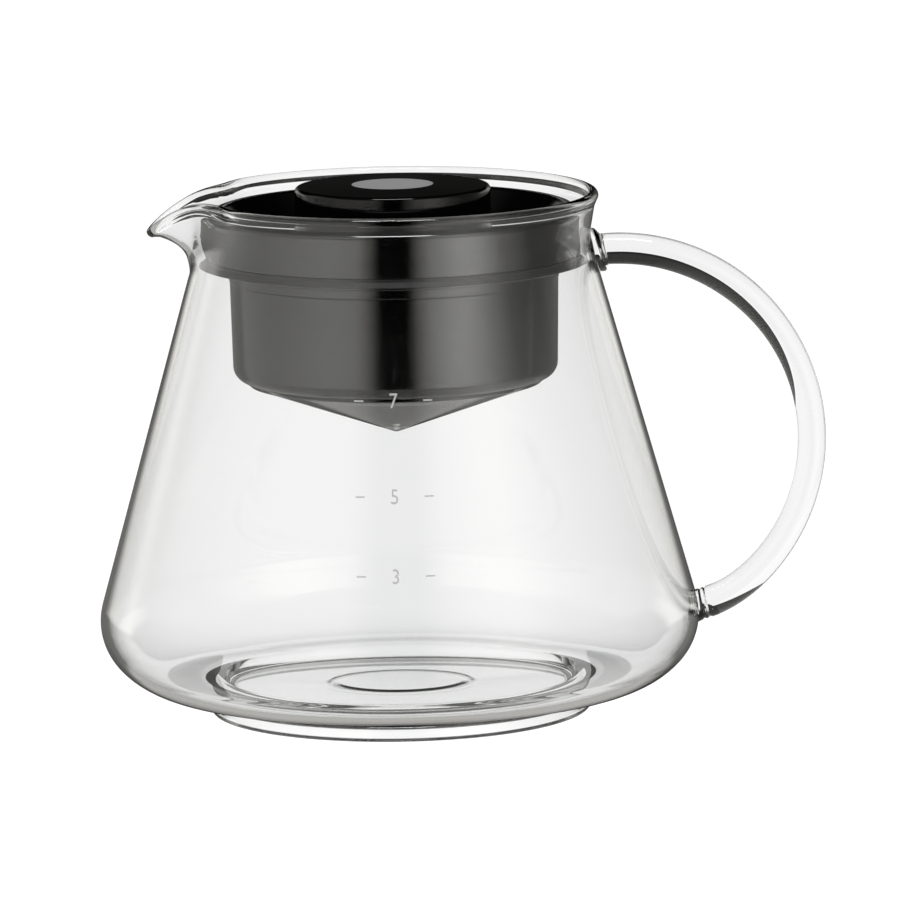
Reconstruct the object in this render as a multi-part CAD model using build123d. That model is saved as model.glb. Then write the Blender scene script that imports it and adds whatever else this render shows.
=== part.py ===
from build123d import *
import os
from math import acos, atan2, cos, degrees, hypot, radians, sin, sqrt, tan

# Glass carafe with a fused handle and a plug lid. Millimetres, +Z up.
# Origin: centre of the foot ring's bottom plane. Spout towards -X, handle towards +X.

os.makedirs("parts", exist_ok=True)

# ---------------------------------------------------------------- carafe glass
WALL = 1.9                  # blown wall, even from shoulder to rim
BODY_R = 73.8               # widest outer radius
BODY_Z = 23.0               # height of the widest circle
SHOULDER_ROUND = 15.5       # outer round at the widest circle
BELLY_ROUND = 20.4          # flatter round that runs under to the foot
BELLY_FROM = 42.0           # degrees below horizontal where the belly round takes over
RIM_Z = 128.3               # top of the rim bead
RIM_R = 50.4                # outer radius of the rim bead
BEAD_ROUND = 1.35           # radius of the bead's section
BEAD_PROUD = 0.55           # how far the bead stands out of the neck
FLARE_LEAN = 10.0           # degrees that the neck opens towards the rim
NECK_DROP = 11.56           # rim top down to where the side and the flare would cross
NECK_ROUND = 12.0           # concave round at the neck's waist

FOOT_R = 46.8               # outer radius of the foot ring
FOOT_WIDTH = 3.2            # radial width of the foot ring
FOOT_EDGE = 1.0             # round on both bottom edges of the ring
FOOT_BLEND = 2.0            # concave round where the ring meets the belly
FLOOR_THICK = 2.6           # glass between the two floor faces
PUNT_R = 15.3               # raised disc in the middle of the base
PUNT_RISE = 1.1             # how far the disc is pushed up
PUNT_SLOPE = 4.0            # radial width of the slope around the disc

# spout stations: reach beyond the rim, drop of the rim, depth of the scoop, half width
SPOUT_ROOT = (-4.8, 0.0, 17.4, 14.8)
SPOUT_STATIONS = (
    SPOUT_ROOT,
    (0.7, 1.3, 12.6, 10.1),
    (3.9, 2.9, 9.0, 7.4),
    (7.2, 5.6, 5.5, 4.6),
    (10.0, 8.4, 2.9, 2.3),
)
SPOUT_LIP = 0.4             # least share of a station's size that stays open
SPOUT_INSET = 6.0           # how far the scoop starts inside the neck wall

# ---------------------------------------------------------------- handle
ROD_R = 3.55                # solid glass rod
LOOP_OUT = 40.4             # loop's centre line beyond the straight line between its joints
UPPER_DROP = 15.15          # rim top down to the upper joint
LOWER_DROP = 0.1            # widest circle down to the lower joint
UPPER_FOOT_R = 4.7          # gathered glass at the upper joint
UPPER_FOOT_LONG = 3.8
LOWER_FOOT_R = 4.15         # gathered glass at the lower joint
LOWER_FOOT_LONG = 2.8
LOWER_FOOT_UP = 2.1         # gathered glass above the middle of the lower joint
FOOT_SINK = 3.0             # length that is trimmed back to the glass

# ---------------------------------------------------------------- lid
SKIRT_GAP = 0.8             # lid skirt to the neck's waist, radial
SHELL = 2.0                 # moulded wall of the lid top
LIP_DROP = 3.7              # rim top down to the lid's crest
LIP_ROUND = 2.7             # round on the outside of the crest
CREST_WIDTH = 1.2           # flat on the crest
TROUGH_DROP = 8.1           # crest down to the trough floor
TROUGH_IN = 12.64           # skirt to the edge of the trough floor
SKIRT_DROP = 11.7           # crest down to the skirt's bottom
TROUGH_ROUND = 2.0          # inner round at the foot of the dish

KNOB_R = 24.0
KNOB_RISE = 2.0             # knob top above the rim top
KNOB_WALL = 2.0
KNOB_EDGE = 1.0
PILOT_HIGH = 1.5            # ring on the trough floor that centres the knob
PILOT_WIDE = 1.6
FIT = 0.1                   # radial play between pieces that slide together

SCREW_COUNT = 3
SCREW_PITCH_R = 14.0
SCREW_R = 1.45
SCREW_GRIP = 7.0            # thread length in the knob's post
SCREW_HEAD_R = 2.8
SCREW_HEAD_HIGH = 1.8
SCREW_SLOT = 0.9            # width of the cross slot
SCREW_SLOT_DEEP = 0.9
SCREW_PLAY = 0.05
SCREW_HOLE_R = 1.7
POST_R = 3.4
WASHER_R = 3.5
WASHER_THICK = 0.5

SEAL_THICK = 2.0            # silicone ring, clamped part
SEAL_LIP_THICK = 0.9
SEAL_GAP = 0.3              # lip to the glass
RETAINER_FLANGE = 1.0
RETAINER_HIGH = 3.6         # seal down to the drum's shoulder
RETAINER_WIDE = 3.3         # flange beyond the collar
COLLAR_PROUD = 0.15         # collar beyond the drum

DRUM_IN = 5.34              # skirt to the drum's shoulder
DRUM_TAPER = 0.5            # how much the radius shrinks to the bottom
DRUM_WALL = 1.8
DRUM_HIGH = 24.9            # shoulder down to the drum's bottom
DRUM_CORNER = 3.7
DRUM_REBATE = 1.0           # step that carries the retainer
DRUM_LEDGE = 5.8            # drum's shoulder to the opening in its bottom
DRUM_TOP_GAP = 1.0          # drum's top edge below the dish

SPIGOT_WALL = 3.0
SPIGOT_LONG = 10.5
RING_ROUND = 0.8            # section radius of the O-ring
RING_SQUASH = 0.02
RING_UP = 3.2               # ring above the spigot's end

CONE_IN = 4.2               # drum's shoulder to the drip cone's rim
CONE_RIM = 0.9              # height of the rim under the drum
CONE_SLOPE = 19.4           # degrees
CONE_WALL = 1.6
CONE_TIP_ROUND = 1.6
CONE_NECK = 3.4             # sleeve that stands up in the drum's mouth


# ---------------------------------------------------------------- helpers
def polar(centre, radius, angle):
    return (centre[0] + radius * cos(radians(angle)), centre[1] + radius * sin(radians(angle)))


def arc(centre, radius, start, end):
    middle = (start + end) / 2
    return ThreePointArc(
        polar(centre, radius, start), polar(centre, radius, middle), polar(centre, radius, end)
    )


def turned(edges):
    """Solid of revolution about Z from a closed outline in the r-z plane."""
    outline = make_face(Plane.XZ * (Curve() + edges))
    return revolve(outline, axis=Axis.Z)


def turned_polygon(*points):
    return turned([Polyline(*points, close=True)])


def ring(inner, outer, low, high):
    return turned_polygon((inner, low), (outer, low), (outer, high), (inner, high))


def at_screws(solid):
    """One copy of a solid at each screw of the knob."""
    return Part() + PolarLocations(SCREW_PITCH_R, SCREW_COUNT) * solid


def round_corner(corner, before, after, radius):
    """Tangent points of a round at a corner between two neighbouring points."""
    b = Vector(*before) - Vector(*corner)
    a = Vector(*after) - Vector(*corner)
    half = radians(b.get_angle(a)) / 2
    cut = radius / tan(half)
    start = Vector(*corner) + b.normalized() * cut
    end = Vector(*corner) + a.normalized() * cut
    bisector = (b.normalized() + a.normalized()).normalized()
    middle = Vector(*corner) + bisector * (radius / sin(half) - radius)
    return tuple(start)[:2], tuple(middle)[:2], tuple(end)[:2]


def smooth_outline(corners):
    """Closed outline from (x, y, radius) corners, radius 0 for a sharp one."""
    tangents = []
    for i, (x, y, radius) in enumerate(corners):
        before = corners[i - 1][:2]
        after = corners[(i + 1) % len(corners)][:2]
        if radius > 0:
            tangents.append(round_corner((x, y), before, after, radius))
        else:
            tangents.append(((x, y), None, (x, y)))
    edges = []
    for i, (start, middle, end) in enumerate(tangents):
        if middle:
            edges.append(ThreePointArc(start, middle, end))
        following = tangents[(i + 1) % len(tangents)][0]
        if sqrt((following[0] - end[0]) ** 2 + (following[1] - end[1]) ** 2) > 1e-6:
            edges.append(Line(end, following))
    return edges


# ---------------------------------------------------------------- carafe lines
shoulder_centre = (BODY_R - SHOULDER_ROUND, BODY_Z)
belly_centre = polar(shoulder_centre, SHOULDER_ROUND - BELLY_ROUND, -BELLY_FROM)
belly_z = belly_centre[1] - BELLY_ROUND
floor_z = belly_z + WALL
bead_z = RIM_Z - BEAD_ROUND
flare_out = (cos(radians(FLARE_LEAN)), -sin(radians(FLARE_LEAN)))
flare_top = (RIM_R - BEAD_PROUD, bead_z)
neck_z = RIM_Z - NECK_DROP
neck_r = flare_top[0] - (bead_z - neck_z) * tan(radians(FLARE_LEAN))


def side_lean():
    """Degrees that the side leans inwards on its way from the shoulder's round to the neck."""
    inwards = neck_r - shoulder_centre[0]
    upwards = neck_z - shoulder_centre[1]
    return degrees(atan2(upwards, inwards) - acos(SHOULDER_ROUND / hypot(inwards, upwards)))


CONE_LEAN = side_lean()
cone_out = (cos(radians(CONE_LEAN)), sin(radians(CONE_LEAN)))


def neck_centre():
    """Centre of the waist's concave round, NECK_ROUND away from the cone and the flare."""
    on_cone = (
        cone_out[0] * shoulder_centre[0] + cone_out[1] * shoulder_centre[1] + SHOULDER_ROUND + NECK_ROUND
    )
    on_flare = flare_out[0] * flare_top[0] + flare_out[1] * flare_top[1] + NECK_ROUND
    turn = cone_out[0] * flare_out[1] - cone_out[1] * flare_out[0]
    r = (on_cone * flare_out[1] - on_flare * cone_out[1]) / turn
    z = (cone_out[0] * on_flare - flare_out[0] * on_cone) / turn
    return (r, z)


waist_centre = neck_centre()
waist_r = waist_centre[0] - NECK_ROUND
waist_z = waist_centre[1]


def cone_r(z, inset):
    """Radius of the cone's face at a height, set in by inset along its normal."""
    reach = cone_out[0] * shoulder_centre[0] + cone_out[1] * shoulder_centre[1] + SHOULDER_ROUND - inset
    return (reach - cone_out[1] * z) / cone_out[0]


def flare_r(z, inset):
    reach = flare_out[0] * flare_top[0] + flare_out[1] * flare_top[1] - inset
    return (reach - flare_out[1] * z) / flare_out[0]


def outside_r(z):
    """Outer radius of the glass at a height between the shoulder and the rim."""
    rise = z - waist_z
    if z < BODY_Z + SHOULDER_ROUND * sin(radians(CONE_LEAN)):
        return shoulder_centre[0] + sqrt(SHOULDER_ROUND ** 2 - (z - BODY_Z) ** 2)
    if rise < -NECK_ROUND * sin(radians(CONE_LEAN)):
        return cone_r(z, 0)
    if rise > NECK_ROUND * sin(radians(FLARE_LEAN)):
        return flare_r(z, 0)
    return waist_centre[0] - sqrt(NECK_ROUND ** 2 - rise ** 2)


def side_lines(inset, top_z):
    """Belly, shoulder, cone, waist and flare, set in by inset, from the floor up to top_z."""
    waist_low = polar(waist_centre, -(NECK_ROUND + inset), CONE_LEAN)
    waist_high = polar(waist_centre, -(NECK_ROUND + inset), -FLARE_LEAN)
    return [
        arc(belly_centre, BELLY_ROUND - inset, -90, -BELLY_FROM),
        arc(shoulder_centre, SHOULDER_ROUND - inset, -BELLY_FROM, CONE_LEAN),
        Line(polar(shoulder_centre, SHOULDER_ROUND - inset, CONE_LEAN), waist_low),
        arc(waist_centre, -(NECK_ROUND + inset), CONE_LEAN, -FLARE_LEAN),
        Line(waist_high, (flare_r(top_z, inset), top_z)),
    ]


def outer_form():
    foot_corner = (FOOT_R - FOOT_EDGE, FOOT_EDGE)
    blend_corner = (FOOT_R + FOOT_BLEND, belly_z - FOOT_BLEND)
    outline = [
        Line((0, 0), (foot_corner[0], 0)),
        arc(foot_corner, FOOT_EDGE, -90, 0),
        Line((FOOT_R, FOOT_EDGE), (FOOT_R, blend_corner[1])),
        arc(blend_corner, FOOT_BLEND, 180, 90),
        Line((blend_corner[0], belly_z), (belly_centre[0], belly_z)),
        *side_lines(0, bead_z),
        Line(flare_top, (0, bead_z)),
        Line((0, bead_z), (0, 0)),
    ]
    return turned(outline)


def inner_form():
    above = RIM_Z + BEAD_ROUND
    punt_top = floor_z + PUNT_RISE
    outline = [
        Polyline((0, punt_top), (PUNT_R, punt_top), (PUNT_R + PUNT_SLOPE, floor_z), (belly_centre[0], floor_z)),
        *side_lines(WALL, above),
        Line((flare_r(above, WALL), above), (0, above)),
        Line((0, above), (0, punt_top)),
    ]
    return turned(outline)


def base_recess():
    """Hollow inside the foot ring, with the pushed-up disc in its middle."""
    inner = FOOT_R - FOOT_WIDTH
    roof = floor_z - FLOOR_THICK
    below = -FOOT_EDGE
    edge = (inner + FOOT_EDGE, FOOT_EDGE)
    outline = [
        Line((0, below), (edge[0], below)),
        Line((edge[0], below), (edge[0], 0)),
        arc(edge, FOOT_EDGE, -90, -180),
        Polyline(
            (inner, FOOT_EDGE),
            (inner, roof),
            (PUNT_R + PUNT_SLOPE, roof),
            (PUNT_R, roof + PUNT_RISE),
            (0, roof + PUNT_RISE),
            (0, below),
        ),
    ]
    return turned(outline)


def scoop_section(beyond, drop, depth, half_width, inset):
    """Upright section of the spout: a half ellipse below the rim line, straight above it."""
    across = max(half_width - inset, half_width * SPOUT_LIP)
    down = max(depth - inset, depth * SPOUT_LIP)
    rim = RIM_Z - drop
    top = RIM_Z + BEAD_ROUND
    outline = Curve() + [
        EllipticalCenterArc((0, rim), across, down, start_angle=180, arc_size=180),
        Line((across, rim), (across, top)),
        Line((across, top), (-across, top)),
        Line((-across, top), (-across, rim)),
    ]
    plane = Plane(origin=(-RIM_R - beyond, 0, 0), x_dir=(0, 1, 0), z_dir=(1, 0, 0))
    return plane * make_face(outline)


def scoop(inset):
    """Spout form by a loft through its stations; the inner one runs out through the tip."""
    stations = list(SPOUT_STATIONS)
    if inset > 0:
        root = SPOUT_ROOT
        tip = SPOUT_STATIONS[-1]
        stations.insert(0, (root[0] - SPOUT_INSET, root[1], root[2] - inset, root[3] + inset))
        stations.append((tip[0] + inset, tip[1] + inset, tip[2], tip[3]))
    return loft([scoop_section(*station, inset) for station in stations])


def rim_cut():
    """Removes what stands above the rim line where it dips along the spout."""
    line = [(-RIM_R - beyond, RIM_Z - drop) for beyond, drop, depth, half_width in SPOUT_STATIONS]
    far = (line[-1][0] - WALL, line[-1][1] - WALL)
    top = RIM_Z + 4 * BEAD_ROUND
    outline = Curve() + [
        Spline(*line, far, tangents=[(-1, 0), (-1, -1)]),
        Polyline(far, (far[0], top), (line[0][0], top), line[0]),
    ]
    face = Plane.XZ * make_face(outline)
    return extrude(face, amount=2 * SPOUT_ROOT[3], both=True)


def carafe_glass():
    blank = outer_form() + scoop(0)
    hollow = inner_form() + scoop(WALL)
    bead = Pos(0, 0, bead_z) * Torus(RIM_R - BEAD_ROUND, BEAD_ROUND)
    return blank - hollow - base_recess() + (bead - scoop(WALL)) - rim_cut()


# ---------------------------------------------------------------- handle
def flared_foot(radius, length):
    """Gathered end of the rod: wide at the glass, drawn down to the rod. Axis along +Z."""
    outline = [
        (0, -FOOT_SINK, 0),
        (radius, -FOOT_SINK, 0),
        (radius, length * 0.25, 0),
        (radius - (radius - ROD_R) * 0.35, length * 0.7, 0.5),
        (ROD_R - FIT, length, 0),
        (0, length, 0),
    ]
    return turned(smooth_outline(outline))


def handle_loop(upper, lower):
    """Centre and radius of the loop through both joints, its first angle and its whole turn."""
    chord = upper - lower
    half = chord.length / 2
    radius = (half ** 2 + LOOP_OUT ** 2) / (2 * LOOP_OUT)
    outwards = Vector(chord.Y, -chord.X).normalized()
    centre = (upper + lower) / 2 + outwards * (LOOP_OUT - radius)
    middle = degrees(atan2(outwards.Y, outwards.X))
    reach = degrees(acos(1 - LOOP_OUT / radius) + FOOT_SINK / radius)
    return (centre.X, centre.Y), radius, middle + reach, 2 * reach


def handle():
    upper_z = RIM_Z - UPPER_DROP
    lower_z = BODY_Z - LOWER_DROP
    gathered_z = lower_z + LOWER_FOOT_UP
    upper_joint = Vector(outside_r(upper_z), upper_z)
    lower_joint = Vector(outside_r(lower_z), lower_z)
    centre, loop_r, first, whole_turn = handle_loop(upper_joint, lower_joint)
    start = polar(centre, loop_r, first)
    section_plane = Plane(
        origin=(start[0], 0, start[1]),
        x_dir=(0, 1, 0),
        z_dir=(sin(radians(first)), 0, -cos(radians(first))),
    )
    loop_axis = Axis((centre[0], 0, centre[1]), (0, 1, 0))
    rod = revolve(section_plane * Circle(ROD_R), axis=loop_axis, revolution_arc=whole_turn)
    upper = Pos(upper_joint.X, 0, upper_z) * Rot(0, 90, 0) * flared_foot(UPPER_FOOT_R, UPPER_FOOT_LONG)
    lower = (
        Pos(cone_r(gathered_z, 0), 0, gathered_z)
        * Rot(0, 90 - CONE_LEAN, 0)
        * flared_foot(LOWER_FOOT_R, LOWER_FOOT_LONG)
    )
    return rod + upper + lower - outer_form()


# ---------------------------------------------------------------- lid heights and radii
skirt_r = waist_r - WALL - SKIRT_GAP
crest_z = RIM_Z - LIP_DROP
trough_z = crest_z - TROUGH_DROP
plate_z = trough_z - SHELL
skirt_z = crest_z - SKIRT_DROP
seal_z = skirt_z - SEAL_THICK
shoulder_z = seal_z - RETAINER_HIGH
drum_z = shoulder_z - DRUM_HIGH
knob_z = RIM_Z + KNOB_RISE
TROUGH_R = skirt_r - TROUGH_IN
DRUM_R = skirt_r - DRUM_IN
DRUM_MOUTH = DRUM_R - DRUM_LEDGE
CONE_R = DRUM_R - CONE_IN
drum_neck_r = DRUM_R - DRUM_REBATE
drum_bore_r = DRUM_R - DRUM_TAPER - DRUM_WALL
spigot_r = drum_bore_r - FIT
dish_top_r = skirt_r - LIP_ROUND - CREST_WIDTH
dish_rise = (crest_z - trough_z) / (dish_top_r - TROUGH_R)


def dish_under(r):
    """Height of the dish's underside at a radius."""
    thick = SHELL * sqrt(1 + dish_rise ** 2)
    return trough_z + (r - TROUGH_R) * dish_rise - thick


def lid_top():
    spigot_in = spigot_r - SPIGOT_WALL
    spigot_end = plate_z - SPIGOT_LONG
    skirt_in = skirt_r - SHELL
    outline = [
        (0, plate_z, 0),
        (spigot_in, plate_z, 0),
        (spigot_in, spigot_end, 0),
        (spigot_r, spigot_end, 0),
        (spigot_r, dish_under(spigot_r), 0),
        (skirt_in, dish_under(skirt_in), 0),
        (skirt_in, skirt_z, 0),
        (skirt_r, skirt_z, 0),
        (skirt_r, crest_z, LIP_ROUND),
        (dish_top_r, crest_z, CREST_WIDTH),
        (TROUGH_R, trough_z, TROUGH_ROUND),
        (0, trough_z, 0),
    ]
    shell = turned(smooth_outline(outline))
    pilot_r = KNOB_R - KNOB_WALL - FIT
    pilot = ring(pilot_r - PILOT_WIDE, pilot_r, trough_z, trough_z + PILOT_HIGH)
    holes = at_screws(Pos(0, 0, plate_z) * Cylinder(SCREW_HOLE_R, SHELL * 4))
    return shell + pilot - holes - ring_groove()


def ring_z():
    return plate_z - SPIGOT_LONG + RING_UP


def ring_groove():
    half = RING_ROUND + FIT
    return ring(drum_bore_r - 2 * RING_ROUND, drum_bore_r, ring_z() - half, ring_z() + half)


def drum_ring():
    section = RING_ROUND - RING_SQUASH
    return Pos(0, 0, ring_z()) * Torus(drum_bore_r - RING_ROUND, section)


def knob():
    under = knob_z - KNOB_WALL
    outline = [
        (0, under, 0),
        (KNOB_R - KNOB_WALL, under, KNOB_EDGE),
        (KNOB_R - KNOB_WALL, trough_z, 0),
        (KNOB_R, trough_z, 0),
        (KNOB_R, knob_z, KNOB_EDGE),
        (0, knob_z, 0),
    ]
    cap = turned(smooth_outline(outline))
    high = under - trough_z
    posts = at_screws(Pos(0, 0, trough_z + high / 2) * Cylinder(POST_R, high))
    pilots = at_screws(Pos(0, 0, trough_z) * Cylinder(SCREW_R + SCREW_PLAY, 2 * SCREW_GRIP + 1))
    return cap + posts - pilots


def knob_washers():
    low = plate_z - WASHER_THICK
    washer = ring(SCREW_R + SCREW_PLAY, WASHER_R, low, plate_z)
    return at_screws(washer)


def knob_screws():
    seat = plate_z - WASHER_THICK
    head_end = seat - SCREW_HEAD_HIGH
    outline = [
        (0, head_end, 0),
        (SCREW_HEAD_R, head_end, SCREW_SLOT),
        (SCREW_HEAD_R, seat, 0),
        (SCREW_R, seat, 0),
        (SCREW_R, trough_z + SCREW_GRIP, SCREW_SLOT),
        (0, trough_z + SCREW_GRIP, 0),
    ]
    screw = turned(smooth_outline(outline))
    slot = Box(SCREW_SLOT, SCREW_HEAD_R, 2 * SCREW_SLOT_DEEP)
    cross = slot + Rot(0, 0, 90) * slot
    return at_screws(screw - Pos(0, 0, head_end) * cross)


def lid_seal():
    """Silicone ring: a flat clamped part and a thin lip that flares down to the glass."""
    lip_r = cone_r(seal_z, WALL) - SEAL_GAP
    lip_high = seal_z + SEAL_LIP_THICK
    return turned_polygon(
        (drum_neck_r + FIT, seal_z),
        (skirt_r - SEAL_LIP_THICK, seal_z),
        (lip_r - SEAL_LIP_THICK / 2, seal_z),
        (lip_r, seal_z + SEAL_LIP_THICK / 3),
        (skirt_r + FIT, lip_high + SEAL_LIP_THICK / 2),
        (skirt_r, skirt_z),
        (drum_neck_r + FIT, skirt_z),
    )


def seal_retainer():
    collar_r = DRUM_R + COLLAR_PROUD
    flange_r = collar_r + RETAINER_WIDE
    bore = drum_neck_r + FIT
    flange_z = seal_z - RETAINER_FLANGE
    outline = [
        (bore, shoulder_z, 0),
        (collar_r, shoulder_z, 0),
        (collar_r, flange_z, RETAINER_FLANGE / 2),
        (flange_r, flange_z, RETAINER_FLANGE / 3),
        (flange_r, seal_z, 0),
        (bore, seal_z, 0),
    ]
    return turned(smooth_outline(outline))


def drum():
    low_r = DRUM_R - DRUM_TAPER
    top = dish_under(spigot_r) - DRUM_TOP_GAP
    inside = drum_z + DRUM_WALL
    outline = [
        (drum_bore_r, top, 0),
        (drum_neck_r, top, 0),
        (drum_neck_r, shoulder_z, 0),
        (DRUM_R, shoulder_z, 0),
        (low_r, drum_z, DRUM_CORNER),
        (DRUM_MOUTH, drum_z, 0),
        (DRUM_MOUTH, inside, 0),
        (drum_bore_r, inside, DRUM_CORNER - DRUM_WALL),
    ]
    return turned(smooth_outline(outline))


def drip_cone():
    base_z = drum_z - CONE_RIM
    fall = tan(radians(CONE_SLOPE))
    tip_z = base_z - CONE_R * fall
    sleeve_r = DRUM_MOUTH - FIT
    sleeve_in = sleeve_r - CONE_WALL
    inner_tip = tip_z + CONE_WALL / cos(radians(CONE_SLOPE))
    outline = [
        (0, tip_z + CONE_TIP_ROUND * (1 / cos(radians(CONE_SLOPE)) - 1), 0),
        (CONE_TIP_ROUND * sin(radians(CONE_SLOPE)), tip_z + CONE_TIP_ROUND * sin(radians(CONE_SLOPE)) * fall, 0),
        (CONE_R, base_z, 0),
        (CONE_R, drum_z, 0),
        (sleeve_r, drum_z, 0),
        (sleeve_r, drum_z + CONE_NECK, 0),
        (sleeve_in, drum_z + CONE_NECK, 0),
        (sleeve_in, inner_tip + sleeve_in * fall, 0),
        (0, inner_tip, 0),
    ]
    return turned(smooth_outline(outline))


# ---------------------------------------------------------------- build
PIECES = {
    "carafe_glass": carafe_glass,
    "handle": handle,
    "lid_top": lid_top,
    "knob": knob,
    "knob_screws": knob_screws,
    "knob_washers": knob_washers,
    "lid_seal": lid_seal,
    "seal_retainer": seal_retainer,
    "drum": drum,
    "drum_ring": drum_ring,
    "drip_cone": drip_cone,
}

for name, make in PIECES.items():
    solids = make().solids()
    node = solids[0] if len(solids) == 1 else Compound(children=list(solids))
    export_step(node, f"parts/{name}.step")
    print(name, len(solids), round(sum(solid.volume for solid in solids), 1))
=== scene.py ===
from math import atan2, atan, cos, degrees, exp, hypot, pi, radians, sin, sqrt, tan

import bmesh
import bpy
from mathutils import Matrix, Vector


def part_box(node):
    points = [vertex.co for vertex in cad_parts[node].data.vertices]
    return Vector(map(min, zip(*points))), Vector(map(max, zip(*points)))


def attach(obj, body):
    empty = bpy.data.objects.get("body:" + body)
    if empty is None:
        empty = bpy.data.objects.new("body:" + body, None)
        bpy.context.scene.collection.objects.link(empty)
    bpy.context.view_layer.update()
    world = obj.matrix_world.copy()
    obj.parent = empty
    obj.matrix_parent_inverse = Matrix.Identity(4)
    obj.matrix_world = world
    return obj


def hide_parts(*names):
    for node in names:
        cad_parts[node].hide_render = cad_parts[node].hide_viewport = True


# Glass carafe with a plug lid. Sizes are in millimetres until they reach a mesh.
# Origin: centre of the foot ring, +Z up, spout towards -X, handle towards +X.

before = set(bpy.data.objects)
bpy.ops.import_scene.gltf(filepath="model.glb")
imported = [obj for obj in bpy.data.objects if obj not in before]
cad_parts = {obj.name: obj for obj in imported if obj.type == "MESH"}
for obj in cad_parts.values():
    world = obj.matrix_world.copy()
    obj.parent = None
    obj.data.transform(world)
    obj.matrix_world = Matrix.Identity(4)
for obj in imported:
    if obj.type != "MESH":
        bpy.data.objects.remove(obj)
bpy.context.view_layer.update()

MM = 0.001
ROUND_STEPS = 224           # meridians of a turned piece
CREASE = radians(32)        # edges sharper than this stay crisp


def size_of(node):
    """Outer radius, lowest and highest z of a turned CAD node, in millimetres."""
    low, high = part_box(node)
    return (high.y - low.y) / 2 / MM, low.z / MM, high.z / MM


def linked(name, mesh):
    """Puts a finished bmesh into the scene as an object of its own."""
    data = bpy.data.meshes.new(name)
    mesh.to_mesh(data)
    mesh.free()
    piece = bpy.data.objects.new(name, data)
    bpy.context.scene.collection.objects.link(piece)
    return piece


# ---------------------------------------------------------------- carafe sizes
WALL = 1.9
SHOULDER_ROUND = 15.5       # outer round at the widest circle
BELLY_ROUND = 20.4          # flatter round that runs under to the foot
BELLY_FROM = 42.0           # degrees below horizontal where the belly round takes over
CONE_LEAN = 15.7            # degrees that the side leans inwards
BODY_R, _, GLASS_TOP = size_of("carafe_glass")
BODY_Z = 23.0               # height of the widest circle
RIM_R = 50.4                # to the outside of the rim's bead
BEAD_ROUND = 1.35
BEAD_PROUD = 0.55           # how far the bead stands out of the neck
BEAD_FROM = -38             # where the bead's round begins outside, in degrees
BEAD_TURN = 243             # and how far it runs over the rim
BEAD_RUN_IN = 1.8           # height below the bead's centre where it grows, in bead rounds
FLARE_LEAN = 10.0           # degrees that the neck leans outwards above its waist
NECK_ROUND = 12.0           # hollow round of the waist
FOOT_R = 46.8
FOOT_WIDTH = 3.2
FOOT_EDGE = 0.9             # rounded edges of the foot ring
FOOT_BLEND = 2.0            # hollow round between the foot ring and the belly
STEP_R = 45.4               # inside, where the bottom begins to dip into the foot
STEP_ROUND = 3.0            # upper round of that dip
STEP_FILLET = 2.86          # lower round
STEP_TURN = 55.0            # steepest part of the dip, in degrees
FLOOR_THICK = 1.9
PUNT_R = 15.3               # raised disc in the middle of the bottom
PUNT_RISE = 0.5
PUNT_SLOPE = 4.0            # width of its sloping edge

GLASS_STEPS = 288           # meridians of the carafe
GATHER = 0.6                # how much they crowd towards the spout

SPOUT_FROM = 105.0          # height where the wall starts to lean into the spout
FINE_FROM = 103.0           # height above which the rings of the mesh lie closer
SPOUT_REACH = 10.3          # how far the lip is pulled out
SPOUT_DROP = 7.6            # how far the lip is pulled down
SPOUT_SPREAD = 8.67         # degrees each side, for the pull
SPOUT_SAG = 7.36            # degrees each side, for the drop
PINCH = 2.1                 # the rim is drawn in on both sides of the spout
PINCH_AT = 26.0             # degrees from the spout
PINCH_SPREAD = 11.0
THROAT = 0.2                # share of the height that stays upright before the pull begins


def polar(centre, radius, angle):
    """Point at a radius and an angle in degrees, from a centre in the r-z plane."""
    return centre[0] + radius * cos(radians(angle)), centre[1] + radius * sin(radians(angle))


shoulder_centre = (BODY_R - SHOULDER_ROUND, BODY_Z)
belly_centre = polar(shoulder_centre, SHOULDER_ROUND - BELLY_ROUND, -BELLY_FROM)
belly_z = belly_centre[1] - BELLY_ROUND
belly_in = belly_z + WALL
floor_z = belly_in - (STEP_ROUND + STEP_FILLET) * (1 - cos(radians(STEP_TURN)))
punt_round = ((PUNT_SLOPE / 2) ** 2 + (PUNT_RISE / 2) ** 2) / PUNT_RISE
punt_turn = 2 * degrees(atan(PUNT_RISE / PUNT_SLOPE))
bead_z = GLASS_TOP - BEAD_ROUND
cone_out = (cos(radians(CONE_LEAN)), sin(radians(CONE_LEAN)))
flare_out = (cos(radians(FLARE_LEAN)), -sin(radians(FLARE_LEAN)))
cone_reach = cone_out[0] * shoulder_centre[0] + cone_out[1] * shoulder_centre[1] + SHOULDER_ROUND
flare_reach = flare_out[0] * (RIM_R - BEAD_PROUD) + flare_out[1] * bead_z


def neck_centre():
    """Centre of the waist's concave round, NECK_ROUND away from the cone and the flare."""
    on_cone = cone_reach + NECK_ROUND
    on_flare = flare_reach + NECK_ROUND
    turn = cone_out[0] * flare_out[1] - cone_out[1] * flare_out[0]
    r = (on_cone * flare_out[1] - on_flare * cone_out[1]) / turn
    z = (cone_out[0] * on_flare - flare_out[0] * on_cone) / turn
    return r, z


waist_centre = neck_centre()


def cone_r(z, inset):
    """Radius of the cone at a height, set in from the outside."""
    return (cone_reach - inset - cone_out[1] * z) / cone_out[0]


def flare_r(z, inset):
    """The same of the neck above its waist."""
    return (flare_reach - inset - flare_out[1] * z) / flare_out[0]


def wall_middle(z):
    """Radius of the middle of the neck's wall at a height."""
    half = WALL / 2
    rise = z - waist_centre[1]
    neck = NECK_ROUND + half
    if rise < -neck * sin(radians(CONE_LEAN)):
        return cone_r(z, half)
    if rise > neck * sin(radians(FLARE_LEAN)):
        return flare_r(z, half)
    return waist_centre[0] - sqrt(neck ** 2 - rise ** 2)


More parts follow.
